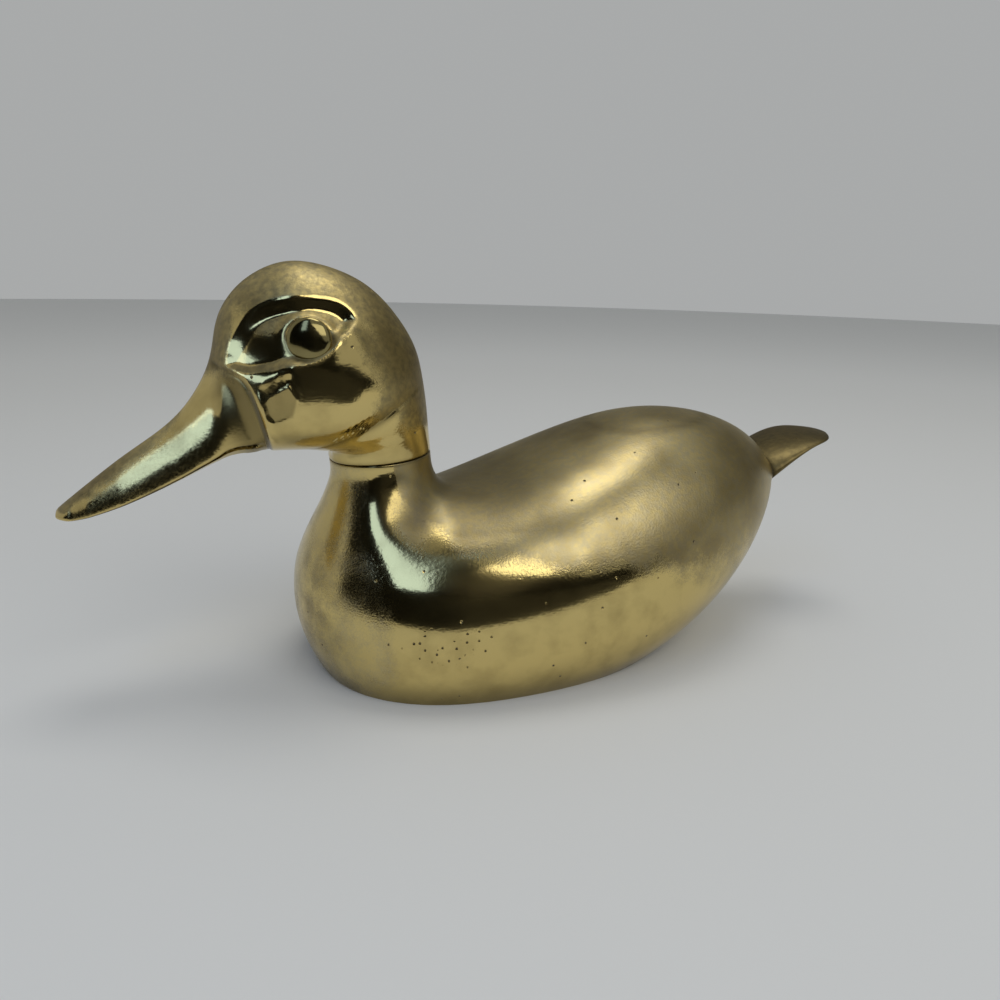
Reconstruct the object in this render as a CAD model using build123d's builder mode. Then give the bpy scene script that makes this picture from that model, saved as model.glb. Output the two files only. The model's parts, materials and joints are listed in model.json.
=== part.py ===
import os
from math import cos, radians, sin

from build123d import *

# A brass duck ornament: hollow body, turning head, set-in tail and eye studs.
# Millimetres. +X is the way the bill points, +Y the duck's left, +Z up.
# The origin is on the surface it stands on, under the middle of its length.

# Neck joint: the head turns on the body about the axis of this seam
neck_x = 40.0
seam_height = 63.4
neck_lean = 4.0
neck_radius = 14.6
neck_flare = 0.4
neck_stub = 5.0
seam_gap = 0.3
spigot_radius = 8.0
spigot_clearance = 0.06
socket_depth = 5.0
web_thickness = 4.0

# Neck screw and its washers, on the same axis
screw_radius = 3.0
screw_clearance = 0.08
thread_clearance = 0.04
screw_grip = 12.0
screw_end_room = 2.0
screw_head_radius = 5.5
screw_head_height = 4.2
screw_slot_width = 1.4
screw_slot_depth = 1.8
washer_radius = 8.0
washer_thickness = 1.2
washer_room = 1.5
spring_radius = 5.6
spring_thickness = 1.6
spring_cut = 1.2

# Body casting
body_wall = 3.5
body_width = 92.0
back_height = 72.4
breast_x = 66.5
breast_z = 24.0
breast_width = 62.0
shoulder_width = 35.2
nape_drop = 8.6
throat_drop = 14.4
collar_width = 46.0
collar_drop = 10.4
dip_behind = 36.6
dip_drop = 8.2
belly_depth = 17.0
flank_sag = 0.15
rump_x = -93.4
rump_top = 57.0
rump_bottom = 42.0
rump_lean = 1.2
rump_width = 28.0

# Head casting, measured from the middle of the neck seam
head_wall = 5.0
head_length = 44.8
crown_rise = 53.0
jaw_rise = 4.3
head_width = 43.5
cheek_width = 29.0
bill_root_rise = 26.0
bill_root_width = 22.0
bill_reach = 83.6
bill_drop = 10.4
bill_width = 17.0
bill_tip_width = 4.0
bill_tip_thickness = 2.4

# Eyes: studs pushed into drilled seats in the head's two sides
eye_ahead = 21.4
eye_below_crown = 18.6
eye_sink = 2.75
eye_toe = 10.0
eye_tilt = 18.0
eye_radius = 5.6
eye_rim = 1.0
eye_dome = 1.4
eye_groove = 0.7
eye_seat_room = 8.0
eye_pin_radius = 1.5
eye_pin_length = 5.0
eye_pin_clearance = 0.04

# Tail plate, set in the rump by a tang
tail_length = 30.2
tail_rise = 4.5
tail_tip_thickness = 1.4
tail_tip_width = 4.0
tail_width = 28.0
tail_step = 1.0
tang_width = 12.0
tang_height = 5.0
tang_length = 7.0
tang_clearance = 0.1

# Sections put between each pair of key sections
fair_steps = 3

# Directions and depths along the neck axis, below the seam
axis_ahead = sin(radians(neck_lean))
axis_up = cos(radians(neck_lean))
seam_plane = Plane(
    origin=(neck_x, 0, seam_height),
    x_dir=(0, 1, 0),
    z_dir=(axis_ahead, 0, axis_up),
)
washer_seat = socket_depth + web_thickness
spring_seat = washer_seat + washer_thickness
screw_seat = spring_seat + spring_thickness
recess_depth = spring_thickness + washer_thickness + screw_head_height + washer_room


def on_neck(side, radius, drop):
    # A point on the neck's outline, ahead of the axis (1) or behind it (-1), below the seam
    return (
        neck_x + side * radius * axis_up - drop * axis_ahead,
        seam_height - side * radius * axis_ahead - drop * axis_up,
    )


def from_seam(ahead, above):
    # A point given by its distances from the middle of the seam
    return (neck_x + ahead, seam_height + above)


def part_way(start, end, share):
    return start + (end - start) * share


def section_plane(upper, lower):
    # The plane across the duck through a point on its back and one on its front or belly
    rise = Vector(upper[0] - lower[0], 0, upper[1] - lower[1]).normalized()
    middle = ((upper[0] + lower[0]) / 2, 0, (upper[1] + lower[1]) / 2)
    return Plane(origin=middle, x_dir=(0, 1, 0), z_dir=(rise.Z, 0, -rise.X))


def section_height(upper, lower):
    return Vector(upper[0] - lower[0], 0, upper[1] - lower[1]).length


def drawn_in(upper, lower, step):
    # The two ends of a section, each moved towards the other
    share = step / section_height(upper, lower)
    ahead = (lower[0] - upper[0]) * share
    above = (lower[1] - upper[1]) * share
    return (upper[0] + ahead, upper[1] + above), (lower[0] - ahead, lower[1] - above)


def between(before, start, end, after, share):
    # A cubic that passes through start and end with the slopes of their neighbours
    slope = end - before
    bend = 2 * before - 5 * start + 4 * end - after
    twist = 3 * (start - end) + after - before
    return start + share * (slope + share * (bend + share * twist)) / 2


def faired(keys):
    # The key sections with smooth ones between them: back point, front point, half width
    rows = [(*upper, *lower, half_width) for upper, lower, half_width in keys]
    before = [2 * near - far for near, far in zip(rows[0], rows[1])]
    after = [2 * near - far for near, far in zip(rows[-1], rows[-2])]
    spread = [before, *rows, after]
    smooth = []
    for index in range(1, len(rows)):
        neighbours = spread[index - 1 : index + 3]
        for step in range(fair_steps):
            smooth.append([between(*values, step / fair_steps) for values in zip(*neighbours)])
    smooth.append(rows[-1])
    return [((row[0], row[1]), (row[2], row[3]), row[4]) for row in smooth]


# Body sections from the seam to the rump: back point, front or belly point, half width
rump_upper = (rump_x - rump_lean, rump_top)
rump_lower = (rump_x + rump_lean, rump_bottom)
breast = (breast_x, breast_z)
dip_height = seam_height - dip_drop


def back(along, height):
    # A point of the back line, by its share of the way from the neck to the rump
    return (part_way(neck_x, rump_x, along), height)


def belly(along, height):
    # A point of the belly line, by its share of the way from the breast to the rump
    return (part_way(breast_x, rump_x, along), height)


body_keys = [
    (on_neck(-1, neck_radius, 0), on_neck(1, neck_radius, 0), neck_radius),
    (
        on_neck(-1, neck_radius, neck_stub),
        on_neck(1, neck_radius, neck_stub),
        neck_radius + neck_flare,
    ),
    (
        from_seam(-shoulder_width / 2, -nape_drop),
        from_seam(shoulder_width / 2, -throat_drop),
        shoulder_width / 2,
    ),
    (
        from_seam(-collar_width / 2, -collar_drop),
        (neck_x + collar_width / 2, part_way(seam_height - throat_drop, breast_z, 0.44)),
        collar_width / 2,
    ),
    ((neck_x - dip_behind, dip_height), breast, breast_width / 2),
    (
        back(0.43, part_way(dip_height, back_height, 0.49)),
        belly(0.025, part_way(breast_z, -belly_depth, 0.49)),
        body_width * 0.44,
    ),
    (back(0.615, back_height), belly(0.15, -belly_depth), body_width / 2),
    (back(0.777, back_height), belly(0.475, -belly_depth), body_width * 0.49),
    (
        back(0.896, part_way(rump_top, back_height, 0.715)),
        belly(0.73, part_way(-belly_depth, rump_bottom, 0.24)),
        body_width * 0.385,
    ),
    (
        back(0.967, part_way(rump_top, back_height, 0.36)),
        belly(0.895, part_way(-belly_depth, rump_bottom, 0.6)),
        body_width * 0.26,
    ),
    (rump_upper, rump_lower, rump_width / 2),
]


# Head sections from the seam over the crown to the root of the bill
def crown(along, up):
    # A point of the head's upper outline, in shares of the head's length and rise
    return from_seam(along * head_length, up * crown_rise)


def jaw(along, up):
    # A point of the head's lower outline, in shares of the head's length and the jaw's rise
    return from_seam(along * head_length, up * jaw_rise)


head_keys = [
    (on_neck(-1, neck_radius, -seam_gap), on_neck(1, neck_radius, -seam_gap), neck_radius),
    (crown(-0.31, 0.16), jaw(0.325, 0.51), head_width * 0.34),
    (crown(-0.28, 0.38), jaw(0.35, 0.88), head_width * 0.39),
    (crown(-0.2, 0.632), jaw(0.435, 1), head_width * 0.47),
    (crown(0.067, 0.895), jaw(0.555, 1), head_width / 2),
    (crown(0.453, 1), jaw(0.65, 0.95), head_width * 0.488),
    (crown(0.737, 0.922), jaw(0.723, 0.88), head_width * 0.425),
    (crown(0.92, 0.745), jaw(0.8, 0.77), cheek_width / 2),
    (from_seam(head_length, bill_root_rise), jaw(0.926, 0.6), bill_root_width / 2),
]

# Bill sections from its root to its tip
bill_top = from_seam(bill_reach, bill_tip_thickness / 2 - bill_drop)
bill_under = from_seam(bill_reach, -bill_tip_thickness / 2 - bill_drop)
root_top, root_under, root_half_width = head_keys[-1]


def culmen(along, down):
    # A point of the bill's upper edge, in shares of the way from its root to its tip
    return (part_way(root_top[0], bill_top[0], along), part_way(root_top[1], bill_top[1], down))


def chin(along, down):
    # A point of the bill's lower edge, in shares of the way from its root to its tip
    return (part_way(root_under[0], bill_under[0], along), part_way(root_under[1], bill_under[1], down))


bill_keys = [
    (root_top, root_under, root_half_width),
    (culmen(0.227, 0.364), chin(0.242, 0.31), bill_width * 0.54),
    (culmen(0.598, 0.656), chin(0.596, 0.754), bill_width / 2),
    (culmen(0.871, 0.886), chin(0.881, 0.993), bill_width * 0.347),
    (bill_top, bill_under, bill_tip_width / 2),
]


# Tail sections from the rump to the tip
def tail_top(along, up):
    # A point of the tail's upper side, in shares of its length and of its rise above the rump
    return (rump_x - along * tail_length, rump_top + up * tail_rise)


def tail_under(along, up):
    # A point of the tail's underside, in shares of its length and of the rise from the rump's foot
    return (rump_x - along * tail_length, part_way(rump_bottom, rump_top + tail_rise, up))


tail_tip = rump_top + tail_rise
tail_keys = [
    (*drawn_in(rump_upper, rump_lower, tail_step), rump_width / 2 - tail_step),
    (tail_top(0.27, 0.44), tail_under(0.22, 0.436), tail_width / 2),
    (tail_top(0.57, 1.02), tail_under(0.535, 0.77), tail_width * 0.464),
    (tail_top(0.82, 1.24), tail_under(0.81, 0.892), tail_width * 0.32),
    (
        (rump_x - tail_length, tail_tip + tail_tip_thickness / 2),
        (rump_x - tail_length, tail_tip - tail_tip_thickness / 2),
        tail_tip_width / 2,
    ),
]


def eye_plane(side):
    # The seat of an eye, on the duck's left (1) or right (-1), facing outward
    level = cos(radians(eye_tilt))
    facing = (sin(radians(eye_toe)) * level, side * cos(radians(eye_toe)) * level, sin(radians(eye_tilt)))
    ahead, height = from_seam(eye_ahead, crown_rise - eye_below_crown)
    out = side * (head_width / 2 - eye_sink)
    return Plane(origin=(ahead, out, height), x_dir=(1, 0, 0), z_dir=facing)


def cast_form(sections, inset, sag):
    # A form through the sections, each drawn in by the inset and fuller below by the sag.
    # Each span from one key section to the next is a loft of its own.
    with BuildPart() as form:
        for first in range(0, len(sections) - 1, fair_steps):
            for upper, lower, half_width in sections[first : first + fair_steps + 1]:
                tall = section_height(upper, lower) / 2 - inset
                low = (half_width - inset) * (1 + sag) * 4 / 3
                high = (half_width - inset) * (1 - sag) * 4 / 3
                with BuildSketch(section_plane(upper, lower)):
                    with BuildLine():
                        Bezier((0, -tall), (low, -tall), (high, tall), (0, tall))
                        Bezier((0, tall), (-high, tall), (-low, -tall), (0, -tall))
                    make_face()
            loft(ruled=True)
    return form.part


os.makedirs("parts", exist_ok=True)

body_sections = faired(body_keys)
head_sections = faired(head_keys)
body_form = cast_form(body_sections, 0, flank_sag)
body_hollow = cast_form(body_sections[2 * fair_steps : -fair_steps], body_wall, flank_sag)
head_form = cast_form(head_sections, 0, 0)
head_hollow = cast_form(head_sections[2 * fair_steps : -fair_steps], head_wall, 0)
bill_form = cast_form(faired(bill_keys), 0, 0)
tail_form = cast_form(faired(tail_keys), 0, 0)
rump_plane = section_plane(rump_upper, rump_lower)

# Body casting, hollow inside and open underneath
with BuildPart() as body_casting:
    add(body_form)
    add(body_hollow, mode=Mode.SUBTRACT)
    split(bisect_by=Plane.XY, keep=Keep.TOP)
    # Socket for the head's spigot, the screw's hole in the web and the recess for its washers
    with BuildSketch(seam_plane):
        Circle(spigot_radius + spigot_clearance)
    extrude(amount=-socket_depth, mode=Mode.SUBTRACT)
    with BuildSketch(seam_plane):
        Circle(screw_radius + screw_clearance)
    extrude(amount=-washer_seat, mode=Mode.SUBTRACT)
    with BuildSketch(seam_plane.offset(-washer_seat)):
        Circle(washer_radius + washer_room)
    extrude(amount=-recess_depth, mode=Mode.SUBTRACT)
    # Socket for the tail's tang
    with BuildSketch(rump_plane):
        Rectangle(tang_width + 2 * tang_clearance, tang_height + 2 * tang_clearance)
    extrude(amount=tang_length + tang_clearance, mode=Mode.SUBTRACT)

# Head casting with its bill
with BuildPart() as head_casting:
    add(head_form)
    add(bill_form)
    add(head_hollow, mode=Mode.SUBTRACT)
    # Spigot that stands in the body's socket, and the threaded hole
    with BuildSketch(seam_plane.offset(seam_gap)):
        Circle(spigot_radius)
    extrude(amount=-seam_gap - socket_depth)
    with BuildSketch(seam_plane.offset(-socket_depth)):
        Circle(screw_radius + thread_clearance)
    extrude(amount=screw_grip + screw_end_room, mode=Mode.SUBTRACT)
    # Eye seats
    for side in (1, -1):
        with BuildSketch(eye_plane(side)):
            Circle(eye_radius + eye_groove)
        extrude(amount=eye_seat_room, mode=Mode.SUBTRACT)
        with BuildSketch(eye_plane(side)):
            Circle(eye_pin_radius + eye_pin_clearance)
        extrude(amount=-eye_pin_length - eye_pin_clearance, mode=Mode.SUBTRACT)

# Tail plate with its tang
with BuildPart() as tail_plate:
    add(tail_form)
    with BuildSketch(rump_plane):
        Rectangle(tang_width, tang_height)
    extrude(amount=tang_length)


def eye_stud(side):
    # A domed stud with a pin, turned about the axis of its seat
    seat = eye_plane(side)
    profile = Plane(origin=seat.origin, x_dir=seat.x_dir, z_dir=seat.x_dir.cross(seat.z_dir))
    with BuildPart() as stud:
        with BuildSketch(profile):
            with BuildLine():
                Polyline(
                    (0, eye_rim + eye_dome),
                    (0, -eye_pin_length),
                    (eye_pin_radius, -eye_pin_length),
                    (eye_pin_radius, 0),
                    (eye_radius, 0),
                    (eye_radius, eye_rim),
                )
                TangentArc((0, eye_rim + eye_dome), (eye_radius, eye_rim), tangent=(1, 0))
            make_face()
        revolve(axis=Axis(seat.origin, seat.z_dir))
    return stud.part


left_eye = eye_stud(1)
right_eye = eye_stud(-1)

# Neck screw, put in from below
with BuildPart() as neck_screw:
    with BuildSketch(seam_plane.offset(-screw_seat)):
        Circle(screw_head_radius)
    extrude(amount=-screw_head_height)
    with BuildSketch(seam_plane.offset(-screw_seat)):
        Circle(screw_radius)
    extrude(amount=screw_seat - socket_depth + screw_grip)
    with BuildSketch(seam_plane.offset(-screw_seat - screw_head_height)):
        Rectangle(2 * screw_head_radius, screw_slot_width)
    extrude(amount=screw_slot_depth, mode=Mode.SUBTRACT)

# Flat washer under the web
with BuildPart() as flat_washer:
    with BuildSketch(seam_plane.offset(-washer_seat)):
        Circle(washer_radius)
        Circle(screw_radius + screw_clearance, mode=Mode.SUBTRACT)
    extrude(amount=-washer_thickness)

# Split spring washer, drawn pressed flat
with BuildPart() as spring_washer:
    with BuildSketch(seam_plane.offset(-spring_seat)):
        Circle(spring_radius)
        Circle(screw_radius + screw_clearance, mode=Mode.SUBTRACT)
        with Locations((spring_radius, 0)):
            Rectangle(2 * spring_radius, spring_cut, mode=Mode.SUBTRACT)
    extrude(amount=-spring_thickness)

pieces = {
    "body_casting": body_casting.part,
    "head_casting": head_casting.part,
    "tail_plate": tail_plate.part,
    "left_eye": left_eye,
    "right_eye": right_eye,
    "neck_screw": neck_screw.part,
    "flat_washer": flat_washer.part,
    "spring_washer": spring_washer.part,
}
for name, piece in pieces.items():
    piece.label = name
    export_step(piece, f"parts/{name}.step")
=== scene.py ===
import json
import math

import bmesh
import bpy
import numpy as np
from mathutils import Matrix, Vector


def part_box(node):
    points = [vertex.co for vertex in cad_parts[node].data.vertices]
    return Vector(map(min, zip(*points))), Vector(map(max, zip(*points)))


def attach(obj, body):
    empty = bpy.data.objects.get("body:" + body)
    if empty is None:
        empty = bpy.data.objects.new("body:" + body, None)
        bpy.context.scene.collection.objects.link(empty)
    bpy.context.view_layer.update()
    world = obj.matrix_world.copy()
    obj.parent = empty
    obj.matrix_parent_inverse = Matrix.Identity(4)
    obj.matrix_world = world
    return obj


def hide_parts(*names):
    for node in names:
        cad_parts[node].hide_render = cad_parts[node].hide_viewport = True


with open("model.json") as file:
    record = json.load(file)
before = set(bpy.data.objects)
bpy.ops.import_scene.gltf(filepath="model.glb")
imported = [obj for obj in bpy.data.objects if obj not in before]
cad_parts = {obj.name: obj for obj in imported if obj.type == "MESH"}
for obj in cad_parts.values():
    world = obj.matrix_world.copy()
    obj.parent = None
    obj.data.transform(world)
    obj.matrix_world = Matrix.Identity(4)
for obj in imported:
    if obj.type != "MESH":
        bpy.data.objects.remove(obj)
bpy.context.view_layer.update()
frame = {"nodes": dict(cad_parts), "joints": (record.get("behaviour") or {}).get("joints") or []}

# A cast brass duck with a turning head. Sizes are in millimetres, meshes in metres.
mm = 0.001
neckJoint = frame["joints"][0]
seam = Vector(neckJoint["pos_m"]) / mm
neckAxis = Vector(neckJoint["axis"]).normalized()
tailBox = [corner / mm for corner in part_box("tail_plate")]
bodyBox = [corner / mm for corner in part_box("body_casting")]
headBox = [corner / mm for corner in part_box("head_casting")]

loft = {
    "points": 32,       # corners round each section before it is subdivided
    "sagged": 0.15,     # the sag at which a section is no longer round
}
swell = 3 / (2 + math.cos(2 * math.pi / loft["points"]))   # undoes the shrink of subdividing a ring


# Small helpers

def deselectAll():
    if bpy.context.mode != "OBJECT":
        bpy.ops.object.mode_set(mode="OBJECT")
    bpy.ops.object.select_all(action="DESELECT")


def choose(piece):
    deselectAll()
    piece.select_set(True)
    bpy.context.view_layer.objects.active = piece


def editMode():
    bpy.ops.object.mode_set(mode="EDIT")


def objectMode():
    bpy.ops.object.mode_set(mode="OBJECT")


def startDisc(name, points, radius):
    # a filled circle in edit mode, with all of it selected
    deselectAll()
    bpy.ops.mesh.primitive_circle_add(vertices=points, radius=radius * mm, fill_type="NGON")
    piece = bpy.context.object
    piece.name = name
    piece.data.name = name
    editMode()
    bpy.ops.mesh.select_all(action="SELECT")
    return piece


def faceOutwards():
    bpy.ops.mesh.select_all(action="SELECT")
    bpy.ops.mesh.normals_make_consistent(inside=False)


def subdivide(piece, levels):
    choose(piece)
    modifier = piece.modifiers.new("Subdivision", "SUBSURF")
    modifier.levels = levels
    modifier.render_levels = levels
    bpy.ops.object.modifier_apply(modifier=modifier.name)


def shadeSmooth(piece, angle):
    choose(piece)
    bpy.ops.object.shade_smooth_by_angle(angle=math.radians(angle))


def meshArrays(piece):
    count = len(piece.data.vertices)
    places = np.empty(count * 3)
    normals = np.empty(count * 3)
    piece.data.vertices.foreach_get("co", places)
    piece.data.vertices.foreach_get("normal", normals)
    return places.reshape(-1, 3) / mm, normals.reshape(-1, 3)


def writePlaces(piece, places):
    piece.data.vertices.foreach_set("co", (places * mm).ravel())
    piece.data.update()


def paint(piece, **layers):
    # values for the material, one for each vertex or one for all of them
    for name, values in layers.items():
        layer = piece.data.attributes.new(name, "FLOAT", "POINT")
        layer.data.foreach_set("value", np.zeros(len(piece.data.vertices)) + values)


def partWay(start, end, share):
    return start + (end - start) * share


def smooth(low, high, value):
    share = np.clip((value - low) / (high - low), 0, 1)
    return share * share * (3 - 2 * share)


def hill(offset, reach):
    return np.exp(-(offset / reach) ** 2)


def ridge(gap, along, width, fade):
    # a rounded ridge across a line, which dies away over a share of its length at both ends
    return hill(gap, width) * smooth(0, fade, along) * smooth(0, fade, 1 - along)


def rounded(line, closed=False):
    # the same line with its corners cut, so that the carving has no kinks
    rows = np.array(line, float)
    for _ in range(2):
        before, after = (rows, np.roll(rows, -1, axis=0)) if closed else (rows[:-1], rows[1:])
        cut = np.stack([0.75 * before + 0.25 * after, 0.25 * before + 0.75 * after], axis=1).reshape(-1, 2)
        rows = cut if closed else np.vstack([rows[:1], cut, rows[-1:]])
    return rows


def curveDistance(ahead, above, line):
    # distance of each point from a line in the side view, and how far along the line it lies
    rows = np.array(line, float)
    lengths = np.r_[0, np.cumsum(np.hypot(*np.diff(rows, axis=0).T))]
    best = np.full(len(ahead), np.inf)
    along = np.zeros(len(ahead))
    for start, end, first, last in zip(rows[:-1], rows[1:], lengths[:-1], lengths[1:]):
        step = end - start
        share = ((ahead - start[0]) * step[0] + (above - start[1]) * step[1]) / (step @ step)
        share = np.clip(share, 0, 1)
        gap = np.hypot(ahead - start[0] - share * step[0], above - start[1] - share * step[1])
        nearer = gap < best
        best[nearer] = gap[nearer]
        along[nearer] = (first + share[nearer] * (last - first)) / lengths[-1]
    return best, along


def insideDistance(ahead, above, outline):
    # how far each point lies inside a closed outline, and nothing outside it
    closed = np.vstack([outline, outline[:1]])
    gap, _ = curveDistance(ahead, above, closed)
    inside = np.zeros(len(ahead), bool)
    for (startX, startZ), (endX, endZ) in zip(closed[:-1], closed[1:]):
        crosses = (startZ > above) != (endZ > above)
        slope = (endX - startX) / (endZ - startZ) if endZ != startZ else 0
        inside ^= crosses & (ahead < startX + (above - startZ) * slope)
    return np.where(inside, gap, 0)


def belowLine(ahead, above, line):
    # whether each point lies under a line that runs from front to rear
    return above < np.interp(ahead, line[::-1, 0], line[::-1, 1])


# Sections: each is one row of back x, back z, front x, front z, half width and sag

def onNeck(side, radius, drop):
    # a point on the neck's outline, ahead of the axis (1) or behind it (-1), below the seam
    return (
        seam.x + side * radius * neckAxis.z - drop * neckAxis.x,
        seam.z - side * radius * neckAxis.x - drop * neckAxis.z,
    )


def fromSeam(ahead, above):
    return (seam.x + ahead, seam.z + above)


def neckRing(radius, drop):
    # a round section on the neck's axis
    return (*onNeck(-1, radius, drop), *onNeck(1, radius, drop), radius, 0)


def drawnIn(row, inset):
    # the same section with a wall taken off it all round
    back = Vector((row[0], row[1]))
    front = Vector((row[2], row[3]))
    step = (front - back).normalized() * inset
    back += step
    front -= step
    return (back.x, back.y, front.x, front.y, row[4] - inset, row[5])


def movedAlong(row, distance):
    return (row[0] + distance, row[1], row[2] + distance, row[3], row[4], row[5])


def faired(rows, steps=2):
    # key sections with smooth ones between them, by a cubic through four neighbours
    rows = np.array(rows, float)
    spread = np.vstack([2 * rows[0] - rows[1], rows, 2 * rows[-1] - rows[-2]])
    done = []
    for index in range(1, len(rows)):
        before, start, end, after = spread[index - 1:index + 3]
        for step in range(steps):
            share = step / steps
            bend = 2 * before - 5 * start + 4 * end - after
            twist = 3 * (start - end) + after - before
            done.append(start + share * ((end - before) + share * (bend + share * twist)) / 2)
    done.append(rows[-1])
    return done


def sectionCurve(share, sag):
    # one side of a section: how far up it lies, from -1 to 1, and how far out, for shares from foot to top
    low = share * (1 - share) ** 2
    high = share ** 2 * (1 - share)
    rise = share ** 3 + 3 * high - 3 * low - (1 - share) ** 3
    roundness = max(0, 1 - sag / loft["sagged"])
    stretch = partWay(1, math.hypot(rise, 4 * (low + high)), roundness)   # with no sag it is a true circle
    return rise / stretch, 4 * (low * (1 + sag) + high * (1 - sag)) / stretch


def sectionPoints(row):
    # points round one section, from its front or belly point up the left side and down the right
    backX, backZ, frontX, frontZ, halfWidth, sag = row
    middle = Vector(((backX + frontX) / 2, 0, (backZ + frontZ) / 2))
    reach = Vector(((backX - frontX) / 2, 0, (backZ - frontZ) / 2)) * swell
    points = []
    for index in range(loft["points"]):
        turn = 2 * index / loft["points"]
        side = 1 if turn <= 1 else -1
        share = turn if turn <= 1 else 2 - turn
        rise, out = sectionCurve(share, sag)
        points.append((middle + reach * rise + Vector((0, side * out * halfWidth * swell, 0))) * mm)
    return points


def loftPiece(name, rows):
    # a disc laid on the first section, then extruded from section to section, so that both ends are closed
    piece = startDisc(name, loft["points"], 1)
    order = {index: index for index in range(loft["points"])}   # the section's point for each corner
    for index, row in enumerate(rows):
        if index:
            bpy.ops.mesh.extrude_region()
        sheet = bmesh.from_edit_mesh(piece.data)
        sheet.verts.ensure_lookup_table()
        chosen = [corner for corner in sheet.verts if corner.select]
        if index:
            order = {
                corner.index: order[edge.other_vert(corner).index]
                for corner in chosen for edge in corner.link_edges
                if edge.other_vert(corner).index in order
            }
        points = sectionPoints(row)
        for corner in chosen:
            corner.co = points[order[corner.index]]
        bmesh.update_edit_mesh(piece.data)
    faceOutwards()
    objectMode()
    return piece


# Body casting: a hollow shell, open underneath, with the socket for the head

bodyCasting = {
    "neckRadius": 14.6, "neckFlare": 0.4, "neckStub": 5.0, "lip": 0.35,
    "shoulderWidth": 35.2, "napeDrop": 8.6, "throatDrop": 14.4,
    "collarWidth": 46.0, "collarDrop": 10.4, "dipBehind": 36.6, "dipDrop": 8.2,
    "breast": (66.5, 24.0), "breastWidth": 62.0,
    "width": 92.0, "backHeight": 72.4, "bellyDepth": 17.0, "flankSag": 0.15,
    "rumpTop": 57.0, "rumpBottom": 42.0, "rumpLean": 1.2, "rumpWidth": 28.0, "rumpRound": 0.6,
    "wall": 3.5, "hollowEnd": 3.0, "socketRadius": 8.06, "socketDepth": 5.0, "webThickness": 4.0,
    "screwHole": 3.08, "recessRadius": 9.5, "recessFloor": 12.0, "edge": 0.3, "leadIn": 0.4,
}
bodyWear = {   # where the finish changes: along the duck, out from its middle and up; pairs are fades
    # lower edge of the satin back, as place along the duck and height, with a softer fade at the rear
    "satinEdge": [
        (-90, 32), (-43, 36), (-28, 39), (-8, 41), (6, 42), (15, 43),
        (23, 45), (28, 47), (33, 50), (38, 55), (42, 80),
    ],
    "foreFade": (-8, 4), "rearFade": (-22, 14), "rear": (-10, -60),
    "breastHaze": 0.5, "breastFacing": (0.3, 0.5), "breastReach": 8,
    # the hollow beside the neck, darkened with painted shade
    "hollow": (34, 50), "hollowReach": 8, "hollowOut": (10, 16), "hollowSatin": 0.7, "hollowShade": 0.72,
    # casting pits, in one patch on the left, and the share of stray ones
    "pits": (31.5, 18.5), "pitReach": (8, 5), "pitOut": (0, 10), "pitShare": 0.7, "strayPits": 0.008,
    # the seam keeps tarnish, and the foot is darkened with painted shade of the mirrored contact shadow
    "seamGrime": 0.4, "seamReach": 0.7, "seamInset": (2, 1), "footShade": 0.5, "footUp": (9, 1),
    # the dip behind the neck, darkened with painted shade where the neck is mirrored: half width at a place
    # along the duck, and how fast it narrows ahead of it
    "dipWidth": 36, "dipFrom": 9, "dipNarrowing": 0.35, "dipEdge": (0, 4),
    "dipRear": (-14, 4), "dipFore": (31, 23), "dipUp": (36, 44), "dipShade": 0.5,
}
rumpX = bodyBox[0].x + bodyCasting["rumpLean"]


def bodyRows():
    size = bodyCasting
    sag = size["flankSag"]
    breastX, breastZ = size["breast"]
    dip = seam.z - size["dipDrop"]
    top = size["backHeight"]
    deep = -size["bellyDepth"]
    shoulder = size["shoulderWidth"] / 2
    collar = size["collarWidth"] / 2
    wide = size["width"]

    def row(along, height, under, depth, halfWidth):
        backX = partWay(seam.x, rumpX, along)
        return (backX, height, partWay(breastX, rumpX, under), depth, halfWidth, sag)

    throat = partWay(seam.z - size["throatDrop"], breastZ, 0.44)
    rumpTop, rumpBottom = size["rumpTop"], size["rumpBottom"]
    return [
        neckRing(size["neckRadius"], 0),
        neckRing(size["neckRadius"] + size["neckFlare"] / 2, size["neckStub"]),
        (*fromSeam(-shoulder, -size["napeDrop"]), *fromSeam(shoulder, -size["throatDrop"]),
         shoulder, sag / 3),
        (*fromSeam(-collar, -size["collarDrop"]), seam.x + collar, throat, collar, sag * 2 / 3),
        (seam.x - size["dipBehind"], dip, breastX, breastZ, size["breastWidth"] / 2, sag),
        row(0.43, partWay(dip, top, 0.49), 0.025, partWay(breastZ, deep, 0.49), wide * 0.44),
        row(0.615, top, 0.15, deep, wide / 2),
        row(0.777, top, 0.475, deep, wide * 0.49),
        row(0.896, partWay(rumpTop, top, 0.715), 0.73, partWay(deep, rumpBottom, 0.24), wide * 0.385),
        row(0.967, partWay(rumpTop, top, 0.36), 0.895, partWay(deep, rumpBottom, 0.6), wide * 0.26),
        (rumpX - size["rumpLean"], rumpTop, rumpX + size["rumpLean"], rumpBottom, size["rumpWidth"] / 2, sag),
    ]


def neckLip(face, way):
    # the rounded edge of a seam face, from the neck's side inwards, with its metal below (1) or above it (-1)
    radius, lip = bodyCasting["neckRadius"], bodyCasting["lip"]
    shares = ((0, 1.6), (0.1, 0.5), (0.6, 0), (1.8, 0))
    return [neckRing(radius - lip * inset, face + way * lip * drop) for inset, drop in shares]


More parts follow.
